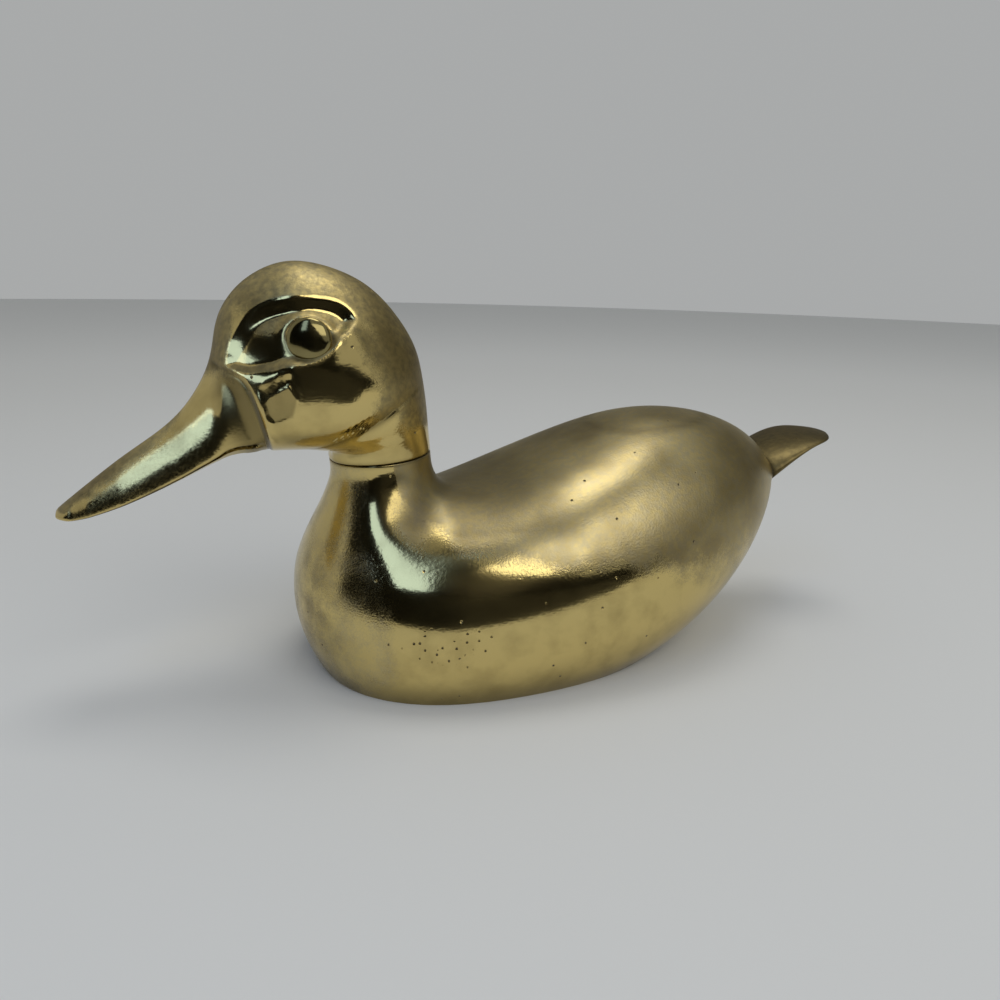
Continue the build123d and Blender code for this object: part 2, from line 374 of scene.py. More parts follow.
def wearBody(body):
    # the back is left satin, and the flanks, breast and neck are polished
    wear = bodyWear
    places, normals = meshArrays(body)
    along, out, up = places[:, 0], np.abs(places[:, 1]), places[:, 2]
    edge = np.interp(along, *np.array(wear["satinEdge"]).T)
    rear = smooth(*wear["rear"], along)
    fade = [partWay(fore, behind, rear) for fore, behind in zip(wear["foreFade"], wear["rearFade"])]
    satin = smooth(*fade, up - edge)
    haze = wear["breastHaze"] * smooth(*wear["breastFacing"], normals[:, 0])
    haze *= smooth(seam.x, seam.x + wear["breastReach"], along)
    hollowAlong, hollowUp = wear["hollow"]
    hollow = hill(np.hypot(along - hollowAlong, up - hollowUp), wear["hollowReach"])
    hollow *= smooth(*wear["hollowOut"], out)

    pitAlong, pitUp = wear["pits"]
    pitLength, pitHeight = wear["pitReach"]
    pits = hill(along - pitAlong, pitLength) * hill(up - pitUp, pitHeight)
    pits *= smooth(*wear["pitOut"], places[:, 1])

    # tarnish stays along the seam, and the hollow, the foot and the dip are darkened with painted shade
    seamDrop = (np.array(seam) - places) @ np.array(neckAxis)
    seamInset = bodyCasting["neckRadius"] - np.hypot(along - seam.x, out)
    seamGrime = wear["seamGrime"] * hill(seamDrop, wear["seamReach"]) * smooth(*wear["seamInset"], seamInset)
    footShade = wear["footShade"] * smooth(*wear["footUp"], up)
    dip = smooth(*wear["dipEdge"], wear["dipWidth"] - out - wear["dipNarrowing"] * (along - wear["dipFrom"]))
    dip *= smooth(*wear["dipRear"], along) * smooth(*wear["dipFore"], along) * smooth(*wear["dipUp"], up)
    # painted shade in the hollow, at the foot and in the dip, with the seam's tarnish
    darkening = [wear["hollowShade"] * hollow, seamGrime, footShade, wear["dipShade"] * dip]
    paint(
        body, satin=np.maximum.reduce([satin, haze, wear["hollowSatin"] * hollow]), grain=0,
        pitted=wear["strayPits"] + wear["pitShare"] * pits, crevice=np.maximum.reduce(darkening),
    )


def makeBody():
    size = bodyCasting
    keys = bodyRows()
    outer = faired(keys)[1:-1]
    inner = faired([drawnIn(key, size["wall"]) for key in keys[2:-1]])
    socket, hole, recess = size["socketRadius"], size["screwHole"], size["recessRadius"]
    socketFloor = size["socketDepth"]
    webFloor = socketFloor + size["webThickness"]
    edge, leadIn, turn = size["edge"], size["leadIn"], size["rumpRound"]
    rump = keys[-1]
    rows = [
        drawnIn(rump, turn * 4),
        drawnIn(rump, turn * 1.2),
        drawnIn(movedAlong(rump, turn * 0.3), turn * 0.3),
        movedAlong(rump, turn * 1.3),
    ]
    rows += outer[::-1]
    rows += neckLip(0, 1)
    rows += [
        neckRing(socket + leadIn, 0),
        neckRing(socket, leadIn),
        neckRing(socket, socketFloor - edge),
        neckRing(socket - edge, socketFloor),
        neckRing(hole + edge, socketFloor),
        neckRing(hole, socketFloor + edge),
        neckRing(hole, webFloor - edge),
        neckRing(hole + edge, webFloor),
        neckRing(recess - edge, webFloor),
        neckRing(recess, webFloor + edge),
        neckRing(recess, size["recessFloor"]),
    ]
    rows += inner
    rows.append(drawnIn(inner[-1], size["hollowEnd"]))
    body = loftPiece("body_shell", rows)
    subdivide(body, 2)

    # the underside is cut flat, and the two cut edges are bridged by the rim it stands on
    choose(body)
    editMode()
    bpy.ops.mesh.select_all(action="SELECT")
    bpy.ops.mesh.bisect(plane_co=(0, 0, 0), plane_no=(0, 0, 1), clear_inner=True)
    bpy.ops.mesh.bridge_edge_loops()
    faceOutwards()
    objectMode()
    wearBody(body)
    shadeSmooth(body, 50)
    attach(body, "body")
    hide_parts("body_casting")
    return body


# Head casting: crown, cheeks and bill, with the carving of the face

headCasting = {
    "seamGap": 0.3, "length": 44.8, "crownRise": 53.0, "jawRise": 4.3, "width": 43.5, "cheekWidth": 29.0,
    "billRootRise": 26.0, "billRootWidth": 18.4, "billDrop": 10.4, "billWidth": 17.0,
    "billTipWidth": 4.0, "billTipThickness": 2.4, "tipRound": 0.7,
    "spigotRadius": 7.9, "spigotEdge": 0.5, "spigotGap": 0.06, "spigotRoot": (0.3, 0.2),
    "eye": (21.2, 34.2),   # its middle, ahead of the neck's axis and above the seam
}
faceLines = {   # in side view, ahead of the neck's axis and above the seam, from the front or the top
    "lid": [(30.0, 29.6), (26.4, 28.0), (20.6, 28.2), (15.8, 31.4), (10.8, 36.0), (7.6, 38.4)],
    "lore": [(35.0, 22.0), (31.5, 25.0), (28.0, 26.8), (23.0, 27.6)],
    "billRoot": [
        (44.6, 27.4), (42.0, 26.2), (38.4, 25.0), (36.6, 23.0),
        (35.4, 19.6), (33.8, 14.4), (31.6, 6.4), (31.0, 2.0),
    ],
    "billRim": [(34.6, 23.4), (33.4, 19.4), (31.9, 14.0), (30.0, 6.6)],
    "jaw": [(31.0, 5.4), (24.0, 5.6), (16.8, 7.0), (6.7, 11.0), (-2.0, 16.0), (-8.0, 20.0)],
}
maskLine = [   # edge of the hollow that holds the eye and the lores
    (43.0, 26.8), (38.8, 35.0), (34.6, 40.6), (29.6, 43.6), (22.6, 44.8), (15.0, 44.8), (10.4, 42.8),
    (7.8, 38.8), (11.2, 35.8), (16.0, 31.4), (20.8, 28.4), (26.4, 27.4), (32.0, 26.0), (36.8, 24.8),
]
cheekFacet = {   # a patch filed flat, leaning down by a share of its height
    "outline": [(33.2, 19.6), (26.6, 24.4), (24.6, 20.2), (25.8, 15.6), (30.4, 13.6), (32.6, 15.4)],
    "lean": 0.1, "depth": 0.1, "edge": 1.0,
}
faceCarving = {   # heights, depths, widths and reaches; pairs are fades
    "middle": (1.0, 5.0),   # the carving comes in over this distance from the middle plane
    "hollowDepth": 1.0, "browDepth": 1.1, "hollowEdge": 3.2, "overEye": (-5, 6), "browLean": 0.3,
    "upperLid": 0.9, "upperLidRadius": 6.8, "upperLidWidth": 1.5, "upperLidFlatness": 1.15,
    "lowerLid": 0.9, "lowerLidWidths": (6.0, 1.3), "lowerLidFade": 0.2,   # widths below and above its line
    "lore": 0.25, "loreWidth": 1.3, "loreFade": 0.25,
    "cheek": 1.4, "cheekPlace": (21, 10), "cheekReach": (11, 8.5),
    # the neck flares up to a crease under the jaw
    "flare": 0.8, "flareUp": (0.4, 7), "flareRear": (-12, 2), "flareFore": (26, 16),
    "crease": 1.0, "creaseAbove": 0.25, "creaseWidth": 1.8, "creaseFade": 0.45,
    # file marks across the edge of the jaw
    "mark": 0.3, "markSpacing": 2.2, "markLean": 0.8, "markSharpness": 8,
    "markRear": (6, 9), "markFore": (19, 15), "markUp": 1.2, "markLength": 1.3,
}
billSection = {
    # half width, by place ahead of the neck's axis
    "halfWidths": [
        (33.0, 16.6), (36.0, 15.0), (39.0, 13.6), (42.0, 12.4), (45.0, 11.4), (50.0, 10.2),
        (56.0, 9.4), (68.0, 8.9), (76.0, 7.5), (80.6, 5.4), (83.6, 2.6),
    ],
    # share of it, by share of the height, on the thin lower bill, with a groove under the upper bill's edge
    "lower": [(0, 0), (0.03, 0.7), (0.07, 0.9), (0.085, 0.84), (0.1, 0.97), (0.13, 1)],
    # above the edge the side rounds over to the ridge
    "rounding": (1.7, 0.7),
    # it comes in over a length ahead of the root's groove and goes out before the tip
    "start": (0.3, 5.0), "end": (83.2, 79.5),
    # its foot and ridge are read off the middle plane, from a place behind the root
    "behind": 30, "onMiddle": 0.02, "leastHeight": 0.1,
    # the root: a step down from the face, a groove and a raised rim
    "top": 27, "step": 0.3, "stepEdge": 0.8, "stepFade": (58, 44),
    "groove": 0.5, "grooveWidth": 0.55, "rim": 0.55, "rimWidth": 0.9, "rimFade": 0.4,
}
faceShadeAndGrime = {   # share of darkening in each groove and patch, and its reach: tarnish at the seam, painted shade in the bill root's groove and the jaw crease, a painted reflection on the cheek facet, and darker lines along the mouth and round the eye
    "root": 0.35, "rootFoot": 0.5, "rootUp": (25, 20), "rootReach": 0.8,
    "stain": 0.6, "stainReach": (10, 4), "stainHeight": (0.85, 0.5),   # painted shade: the foot of the bill's root is dark
    "mouth": 0.6, "mouthHeight": 0.085, "mouthReach": 0.015, "facet": 0.4, "facetEdge": (0.1, 0.9),
    "jaw": 0.5, "jawReach": 0.8, "jawFade": 0.3, "eye": 0.6, "eyeRadius": 6.0, "eyeReach": 0.5,
    "seam": 0.4, "seamReach": 0.7,
}
headWear = {   # fades of how far the surface faces up, ahead or back, and of its place above and ahead
    "crownFacing": (0.34, 0.62), "crownUp": (14, 26), "crownAhead": (46, 42),
    "foreheadFacing": (0.62, 0.8), "foreheadUp": (20, 30), "napeFacing": (-0.1, -0.6), "napeUp": (4, 14),
    "culmenFacing": (0.55, 0.8), "culmenAhead": (44, 50),
    "billGrain": (40, 52), "crownGrain": 0.7, "strayPits": 0.006,
}


def headRows():
    size = headCasting
    length, rise, jaw, wide = size["length"], size["crownRise"], size["jawRise"], size["width"]

    def row(along, up, under, jawUp, halfWidth, sag):
        return (*fromSeam(along * length, up * rise), *fromSeam(under * length, jawUp * jaw), halfWidth, sag)

    rows = [
        neckRing(bodyCasting["neckRadius"], -size["seamGap"]),
        row(-0.31, 0.16, 0.325, 0.51, wide * 0.34, 0.05),
        row(-0.28, 0.38, 0.35, 0.88, wide * 0.39, 0.15),
        row(-0.2, 0.632, 0.435, 1, wide * 0.47, 0.25),
        row(0.067, 0.895, 0.555, 1, wide / 2, 0.28),
        row(0.453, 1, 0.65, 0.95, wide * 0.48, 0.38),
        row(0.737, 0.922, 0.723, 0.88, wide * 0.41, 0.48),
        row(0.92, 0.745, 0.8, 0.77, size["cheekWidth"] * 0.48, 0.5),
        row(1, size["billRootRise"] / rise, 0.926, 0.6, size["billRootWidth"] / 2, 0.45),
    ]
    rootTop, rootUnder = rows[-1][:2], rows[-1][2:4]
    reach = headBox[1].x - seam.x
    tipTop = fromSeam(reach, size["billTipThickness"] / 2 - size["billDrop"])
    tipUnder = fromSeam(reach, -size["billTipThickness"] / 2 - size["billDrop"])

    def billRow(along, down, under, underDown, halfWidth, sag):
        return (
            partWay(rootTop[0], tipTop[0], along), partWay(rootTop[1], tipTop[1], down),
            partWay(rootUnder[0], tipUnder[0], under), partWay(rootUnder[1], tipUnder[1], underDown),
            halfWidth, sag,
        )

    rows += [
        billRow(0.227, 0.364, 0.242, 0.31, size["billWidth"] * 0.5, 0.6),
        billRow(0.598, 0.656, 0.596, 0.754, size["billWidth"] * 0.51, 0.8),
        billRow(0.871, 0.886, 0.881, 0.993, size["billWidth"] * 0.43, 0.8),
        (*tipTop, *tipUnder, size["billTipWidth"] * 0.65, 0.6),
    ]
    return rows


def hollowFace(ahead, above, fromEye, lines, gaps):
    # deep under the brow and shallow towards the bill, with soft lids round the eye
    cut = faceCarving
    eyeAhead, eyeAbove = headCasting["eye"]
    overEye = smooth(*cut["overEye"], above - eyeAbove - cut["browLean"] * (ahead - eyeAhead))
    hollow = smooth(0, cut["hollowEdge"], insideDistance(ahead, above, rounded(maskLine, True)))
    push = -(cut["hollowDepth"] + cut["browDepth"] * overEye) * hollow
    push += cut["upperLid"] * overEye * hill(fromEye - cut["upperLidRadius"], cut["upperLidWidth"])
    lidWidth = np.where(belowLine(ahead, above, lines["lid"]), *cut["lowerLidWidths"])
    push += cut["lowerLid"] * ridge(*gaps["lid"], lidWidth, cut["lowerLidFade"])
    push += cut["lore"] * ridge(*gaps["lore"], cut["loreWidth"], cut["loreFade"])
    return push


def carveJaw(ahead, above, lines, gaps):
    # a full lower cheek over the crease under the jaw
    cut = faceCarving
    cheekAhead, cheekAbove = cut["cheekPlace"]
    cheekLength, cheekHeight = cut["cheekReach"]
    push = cut["cheek"] * hill(ahead - cheekAhead, cheekLength) * hill(above - cheekAbove, cheekHeight)
    under = belowLine(ahead, above, lines["jaw"])
    flare = smooth(*cut["flareUp"], above) * smooth(*cut["flareRear"], ahead)
    flare *= smooth(*cut["flareFore"], ahead)
    push += cut["flare"] * flare * under
    crease = ridge(*gaps["jaw"], cut["creaseWidth"], cut["creaseFade"])
    push -= cut["crease"] * np.where(under, 1, cut["creaseAbove"]) * crease
    turn = (ahead + cut["markLean"] * above) * 2 * math.pi / cut["markSpacing"]
    marks = np.cos(turn) ** cut["markSharpness"] * smooth(*cut["markRear"], ahead)
    marks *= smooth(*cut["markFore"], ahead)
    push -= cut["mark"] * marks * hill(gaps["jaw"][0] - cut["markUp"], cut["markLength"]) * ~under
    return push


def billHeights(places, normals, ahead, above):
    # how high each point lies between the bill's foot and its ridge, from 0 to 1
    def midLine(chosen):
        onMiddle = np.abs(places[:, 1]) < billSection["onMiddle"]
        line = np.flatnonzero(onMiddle & (ahead > billSection["behind"]) & chosen)
        line = line[np.argsort(ahead[line])]
        return np.interp(ahead, ahead[line], above[line])

    top, foot = midLine(normals[:, 2] > 0), midLine(normals[:, 2] < 0)
    return np.clip((above - foot) / np.maximum(top - foot, billSection["leastHeight"]), 0, 1)


def billWidths(ahead, height):
    # half width of the bill at each point's place and height
    lowHeights, lowShares = np.array(billSection["lower"]).T
    edge = lowHeights[-1]
    first, second = billSection["rounding"]
    upper = (1 - np.clip((height - edge) / (1 - edge), 0, 1) ** first) ** second
    share = np.where(height < edge, np.interp(height, lowHeights, lowShares), upper)
    return np.interp(ahead, *np.array(billSection["halfWidths"]).T) * share


def carveFace(head):
    # moves the surface along its normals and sideways, alike on both sides
    cut, bill, facet, darkening = faceCarving, billSection, cheekFacet, faceShadeAndGrime
    places, normals = meshArrays(head)
    ahead, out, above = places[:, 0] - seam.x, np.abs(places[:, 1]), places[:, 2] - seam.z
    lines = {name: rounded(line) for name, line in faceLines.items()}
    gaps = {name: curveDistance(ahead, above, line) for name, line in lines.items()}
    eyeAhead, eyeAbove = headCasting["eye"]
    fromEye = np.hypot(ahead - eyeAhead, (above - eyeAbove) * cut["upperLidFlatness"])
    rootGap = gaps["billRoot"][0]
    rootLine = lines["billRoot"][::-1]
    onBill = (ahead > np.interp(above, rootLine[:, 1], rootLine[:, 0])) & (above < bill["top"])

    push = hollowFace(ahead, above, fromEye, lines, gaps)
    push -= bill["step"] * onBill * smooth(0, bill["stepEdge"], rootGap) * smooth(*bill["stepFade"], ahead)
    push -= bill["groove"] * hill(rootGap, bill["grooveWidth"])
    push += bill["rim"] * ridge(*gaps["billRim"], bill["rimWidth"], bill["rimFade"])
    push += carveJaw(ahead, above, lines, gaps)

    height = billHeights(places, normals, ahead, above)
    weight = onBill * smooth(*bill["start"], rootGap) * smooth(*bill["end"], ahead)
    sideways = weight * (billWidths(ahead, height) - out)

    # the cheek facet is filed flat on the plane nearest to it
    onFacet = insideDistance(ahead, above, facet["outline"])
    chosen = (onFacet > 0) & (places[:, 1] > 0)
    spots = np.c_[ahead, above, np.ones(len(ahead))]
    plane = spots @ np.linalg.lstsq(spots[chosen], out[chosen], rcond=None)[0]
    plane += facet["lean"] * (above - above[chosen].mean()) - facet["depth"]
    sideways += smooth(0, facet["edge"], onFacet) * (plane - out)

    fade = smooth(*cut["middle"], out)
    places += normals * (push * fade)[:, None]
    places[:, 1] += np.sign(places[:, 1]) * sideways
    writePlaces(head, places)

    # the grooves and patches are darkened: tarnish along the seam, painted shade in the bill root's groove,
    # which has a flat middle, and in the jaw crease, a painted reflection on the cheek facet, and darker
    # lines along the mouth and round the eye
    rootDarkening = darkening["root"] + darkening["rootFoot"] * smooth(*darkening["rootUp"], above)
    rootDarkening *= np.exp(-(rootGap / darkening["rootReach"]) ** 4)
    # painted shade at the foot of the bill's root, beside its groove
    stain = darkening["stain"] * smooth(*darkening["stainReach"], rootGap) * smooth(*darkening["stainHeight"], height)
    seamRise = (places - np.array(seam)) @ np.array(neckAxis) - headCasting["seamGap"]
    crevice = np.maximum.reduce([
        rootDarkening,
        onBill * stain,
        onBill * darkening["mouth"] * hill(height - darkening["mouthHeight"], darkening["mouthReach"]),
        darkening["facet"] * smooth(*darkening["facetEdge"], onFacet),
        darkening["jaw"] * ridge(*gaps["jaw"], darkening["jawReach"], darkening["jawFade"]),
        darkening["eye"] * hill(fromEye - darkening["eyeRadius"], darkening["eyeReach"]),
        darkening["seam"] * hill(seamRise, darkening["seamReach"]),
    ])
    paint(head, crevice=crevice * fade)


def wearHead(head):
    # crown, forehead, nape and culmen are satin, the face and neck polished, the bill grained
    wear = headWear
    places, normals = meshArrays(head)
    ahead, above = places[:, 0] - seam.x, places[:, 2] - seam.z
    crown = smooth(*wear["crownFacing"], normals[:, 2]) * smooth(*wear["crownUp"], above)
    crown *= smooth(*wear["crownAhead"], ahead)
    forehead = smooth(*wear["foreheadFacing"], normals[:, 0]) * smooth(*wear["foreheadUp"], above)
    nape = smooth(*wear["napeFacing"], normals[:, 0]) * smooth(*wear["napeUp"], above)
    culmen = smooth(*wear["culmenFacing"], normals[:, 2]) * smooth(*wear["culmenAhead"], ahead)
    grain = np.maximum(smooth(*wear["billGrain"], ahead), wear["crownGrain"] * np.maximum(crown, forehead))
    satin = np.maximum.reduce([crown, forehead, nape, culmen])
    paint(head, satin=satin, grain=grain, pitted=wear["strayPits"])


def makeHead():
    size = headCasting
    gap, depth, spigot = size["seamGap"], bodyCasting["socketDepth"], size["spigotRadius"]
    rootWidth, rootHeight = size["spigotRoot"]
    keys = headRows()
    rows = [
        neckRing(spigot - size["spigotEdge"], depth - size["spigotGap"]),
        neckRing(spigot, depth - size["spigotEdge"]),
        neckRing(spigot, rootHeight - gap),
        neckRing(spigot + rootWidth, -gap),
    ]
    rows += neckLip(-gap, -1)[::-1]
    rows += faired(keys, 3)[1:]
    rows.append(drawnIn(movedAlong(keys[-1], size["tipRound"] / 2), size["tipRound"]))
    head = loftPiece("head_shell", rows)
    subdivide(head, 3)
    carveFace(head)
    wearHead(head)
    shadeSmooth(head, 60)
    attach(head, "head")
    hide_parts("head_casting")
    return head


# Eyes: domed studs in the sockets

eyeStud = {
    "spacing": 38.0, "toe": 15.0, "tilt": 9.0, "radius": 5.6, "dome": 2.2, "rim": 0.4, "seat": 0.7,
    "pin": 1.5, "pinLength": 4.4, "edge": 0.3,
    "points": 24, "lifts": (8, 22, 38, 55, 73),   # corners round each ring, and the dome's rings in degrees
}


def makeEye(name, node, side):
    size = eyeStud
    toe, tilt = math.radians(size["toe"]), math.radians(size["tilt"])
    facing = Vector((math.sin(toe) * math.cos(tilt), side * math.cos(toe) * math.cos(tilt), math.sin(tilt)))
    radius, rim, seat = size["radius"], size["rim"], size["seat"]
    pin, depth, edge = size["pin"], size["pinLength"], size["edge"]
    profile = [   # radius and height of each ring, from the pin's end up over the dome
        (pin - edge, -depth), (pin, rim - depth), (pin, -seat - edge),
        (pin + edge, -seat), (radius - rim, -seat), (radius, -rim),
    ]
    lifts = np.radians(size["lifts"])
    profile += [(radius * math.cos(lift), size["dome"] * math.sin(lift)) for lift in lifts]
    eye = startDisc(name, size["points"], profile[0][0])
    bpy.ops.transform.translate(value=(0, 0, profile[0][1] * mm))
    for (lastRadius, lastHeight), (ringRadius, height) in zip(profile[:-1], profile[1:]):
        bpy.ops.mesh.extrude_region_move(TRANSFORM_OT_translate={"value": (0, 0, (height - lastHeight) * mm)})
        share = ringRadius / lastRadius
        bpy.ops.transform.resize(value=(share, share, 1), center_override=(0, 0, height * mm))
    bpy.ops.mesh.poke()
    faceOutwards()
    objectMode()
    subdivide(eye, 2)
    ahead, above = fromSeam(*headCasting["eye"])
    place = Vector((ahead, side * size["spacing"] / 2, above)) * mm
    eye.data.transform(Matrix.Translation(place) @ facing.to_track_quat("Z", "Y").to_matrix().to_4x4())
    paint(eye, satin=0, grain=0, pitted=0, crevice=0)
    shadeSmooth(eye, 60)
    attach(eye, "head")
    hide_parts(node)
    return eye


# Tail plate: a thin paddle let into the rump

tailPlate = {
    "step": 1.0, "width": 28.0, "rise": 4.5, "tipThickness": 1.4, "tipWidth": 9.0,
    "rootInset": 1.2, "rootRound": 0.2, "tipRound": 0.4, "endLift": 0.1, "rootDarkening": 2.5, "strayPits": 0.04,
}


def makeTail():
    size = tailPlate
    rumpTop, rumpBottom = bodyCasting["rumpTop"], bodyCasting["rumpBottom"]
    length = rumpX - tailBox[0].x
    tip, halfTip = rumpTop + size["rise"], size["tipThickness"] / 2
    root = drawnIn(bodyRows()[-1][:5] + (0,), size["step"])

    def row(along, up, under, underUp, halfWidth):
        return (
            rumpX - along * length, rumpTop + up * size["rise"],
            rumpX - under * length, partWay(rumpBottom, tip, underUp), halfWidth, 0,
        )

    wide = size["width"]
    keys = [
        root,
        row(0.27, 0.44, 0.22, 0.436, wide / 2),
        row(0.57, 1.02, 0.535, 0.77, wide * 0.49),
        row(0.82, 1.24, 0.81, 0.892, wide * 0.43),
        (tailBox[0].x, tip + halfTip, tailBox[0].x, tip - halfTip, size["tipWidth"] / 2, 0),
    ]
    rows = [drawnIn(root, size["rootInset"]), drawnIn(movedAlong(root, -size["endLift"]), size["rootRound"])]
    rows += faired(keys)[1:]
    rows.append(drawnIn(movedAlong(keys[-1], -size["endLift"]), size["tipRound"]))
    tail = loftPiece("tail_paddle", rows)
    subdivide(tail, 3)
    places, _ = meshArrays(tail)
    darkening = smooth(rumpX - size["rootDarkening"], rumpX, places[:, 0])
    paint(tail, satin=1, grain=0, pitted=size["strayPits"], crevice=darkening)
    shadeSmooth(tail, 60)
    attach(tail, "body")
    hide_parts("tail_plate")
    return tail


# Materials

def hexColour(code):
    channels = [int(code[index:index + 2], 16) / 255 for index in (1, 3, 5)]
    linear = [c / 12.92 if c <= 0.04045 else ((c + 0.055) / 1.055) ** 2.4 for c in channels]
    return (*linear, 1)


def addNode(tree, kind, settings=None, out=0):
    # one node, with its options set and its sockets set or linked, giving back one of its outputs
    node = tree.nodes.new("ShaderNode" + kind)
    for name, value in (settings or {}).items():
        if isinstance(name, str) and name not in node.inputs:
            setattr(node, name, value)
        elif isinstance(value, bpy.types.NodeSocket):
            tree.links.new(value, node.inputs[name])
        else:
            node.inputs[name].default_value = value
    return node.outputs[out]


def newMaterial(name):
    material = bpy.data.materials.new(name)
    material.use_nodes = True
    material.node_tree.nodes.clear()
    return material


# Cast brass: polished by hand on the flanks and face, where it mirrors what is round it, and left satin
# and dulled by handling on the back and crown, where it shows soft light. Small casting pits stay.
castBrass = {
    "polished": "#d6c07e", "tarnished": "#bdb089", "stain": "#6b5a34", "darkening": "#2b2312",
    "polishedRoughness": 0.08, "satinRoughness": 0.31, "smear": 0.08,
    "billRoughness": 0.26, "grimeRoughness": 0.2,
    # size of each pattern, in millimetres, and its detail
    "patterns": {
        "wave": (26, 1), "ripple": (8, 1), "mottle": (9, 5), "patch": (34, 4), "speckle": (1.6, 3),
        "fine": (0.5, 1), "peel": (0.9, 1), "satinGrain": (0.6, 3), "billGrain": (0.7, 4), "streak": (0.7, 3),
    },
    "pitSpacing": 1.5, "stainShare": 0.55, "dullShare": 0.3,
    "waveHeight": 0.2, "rippleHeight": 0.04, "peelHeight": 0.012, "streakHeight": 0.01,
    "grainHeight": 0.045, "billHeight": 0.03, "pitDepth": 0.14,
}


def brass(name, values):
    material = newMaterial(name)
    tree = material.node_tree
    where = addNode(tree, "TexCoord", out="Object")
    along = addNode(tree, "Mapping", {"Vector": where, "Scale": (0.12, 1, 1)})
    painted = {}
    for attribute in ("satin", "grain", "pitted", "crevice"):
        painted[attribute] = addNode(tree, "Attribute", {"attribute_name": attribute}, "Fac")
    noises = {}
    for pattern, (size, detail) in values["patterns"].items():
        noises[pattern] = addNode(tree, "TexNoise", {
            "Vector": along if pattern == "streak" else where,
            "Scale": 1 / (size * mm), "Detail": detail}, "Fac")

    # satin with a mottled and grainy edge
    ragged = addNode(tree, "Math", {"operation": "ADD", 0: painted["satin"], 1: noises["mottle"]})
    ragged = addNode(tree, "Math", {"operation": "MULTIPLY_ADD", 0: noises["fine"], 1: 0.5, 2: ragged})
    satin = addNode(tree, "MapRange", {"Value": ragged, "From Min": 1.03, "From Max": 1.47})

    # colour: polished with dull patches, then tarnished where satin, then stained in patches
    dull = addNode(tree, "MapRange", {
        "Value": noises["mottle"], "From Min": 0.45, "From Max": 0.7, "To Max": values["dullShare"]})
    colour = addNode(tree, "Mix", {
        "data_type": "RGBA", 0: dull, 6: hexColour(values["polished"]), 7: hexColour(values["stain"])}, 2)
    share = addNode(tree, "MapRange", {
        "Value": noises["speckle"], "From Min": 0.35, "From Max": 0.65, "To Min": 0.4, "To Max": 1.0})
    share = addNode(tree, "Math", {"operation": "MULTIPLY", 0: satin, 1: share})
    colour = addNode(tree, "Mix", {
        "data_type": "RGBA", 0: share, 6: colour, 7: hexColour(values["tarnished"])}, 2)
    stain = addNode(tree, "MapRange", {
        "Value": noises["patch"], "From Min": 0.4, "From Max": 0.62, "To Max": values["stainShare"]})
    stain = addNode(tree, "Math", {"operation": "MULTIPLY", 0: stain, 1: satin})
    colour = addNode(tree, "Mix", {
        "data_type": "RGBA", 0: stain, 6: colour, 7: hexColour(values["stain"])}, 2)

    # pits: small round holes left by the casting, in as many cells as are painted, and grime and painted
    # shade in the grooves
    cells = addNode(tree, "TexVoronoi", {"Vector": where, "Scale": 1 / (values["pitSpacing"] * mm)})
    chance = addNode(tree, "SeparateColor", {"Color": cells.node.outputs["Color"]})
    chosen = addNode(tree, "Math", {"operation": "LESS_THAN", 0: chance, 1: painted["pitted"]})
    pits = addNode(tree, "MapRange", {
        "Value": cells, "From Min": 0.1, "From Max": 0.3, "To Min": 1.0, "To Max": 0.0})
    pits = addNode(tree, "Math", {"operation": "MULTIPLY", 0: pits, 1: chosen})
    darkened = addNode(tree, "Math", {"operation": "MAXIMUM", 0: pits, 1: painted["crevice"]})
    colour = addNode(tree, "Mix", {
        "data_type": "RGBA", 0: darkened, 6: colour, 7: hexColour(values["darkening"])}, 2)

    # roughness: polished to satin, with smears on the polish, a rougher bill and rough grooves
    rough = addNode(tree, "MapRange", {
        "Value": satin, "To Min": values["polishedRoughness"], "To Max": values["satinRoughness"]})
    smear = addNode(tree, "MapRange", {
        "Value": noises["patch"], "From Min": 0.35, "From Max": 0.8, "To Max": values["smear"]})
    rough = addNode(tree, "Math", {"operation": "ADD", 0: rough, 1: smear})
    billRough = addNode(tree, "MapRange", {
        "Value": noises["billGrain"], "From Min": 0.3, "To Max": values["billRoughness"]})
    rough = addNode(tree, "Math", {
        "operation": "MULTIPLY_ADD", 0: billRough, 1: painted["grain"], 2: rough})
    rough = addNode(tree, "Math", {
        "operation": "MULTIPLY_ADD", 0: darkened, 1: values["grimeRoughness"], 2: rough})

    # height: slow waves of hand polishing, fine streaks, satin grain, bill grain and pits
    height = addNode(tree, "Math", {"operation": "MULTIPLY", 0: pits, 1: -values["pitDepth"]})
    for pattern in ("wave", "ripple", "peel", "streak"):
        height = addNode(tree, "Math", {
            "operation": "MULTIPLY_ADD", 0: noises[pattern], 1: values[pattern + "Height"], 2: height})
    for noise, mask, depth in (
        (noises["satinGrain"], satin, values["grainHeight"]),
        (noises["billGrain"], painted["grain"], values["billHeight"]),
    ):
        deep = addNode(tree, "Math", {"operation": "MULTIPLY", 0: mask, 1: depth})
        height = addNode(tree, "Math", {"operation": "MULTIPLY_ADD", 0: noise, 1: deep, 2: height})
    bump = addNode(tree, "Bump", {"Strength": 1.0, "Distance": mm, "Height": height})

    # thick grime is dirt, not metal, and the painted shade laid with it is made the same dull non-metal
    metal = addNode(tree, "MapRange", {
        "Value": darkened, "From Min": 0.6, "From Max": 0.85, "To Min": 1.0, "To Max": 0.0})
    shader = addNode(tree, "BsdfPrincipled", {
        "Metallic": metal, "Base Color": colour, "Roughness": rough, "Normal": bump})
    output = tree.nodes.new("ShaderNodeOutputMaterial")
    tree.links.new(shader, output.inputs["Surface"])
    return material


# Turned steel: grey, with fine lathe rings round the neck's axis
latheSteel = {
    "dark": "#8a8a8c", "light": "#b4b4b6", "roughness": (0.3, 0.42), "ringSize": 4, "distortion": 0.6,
}


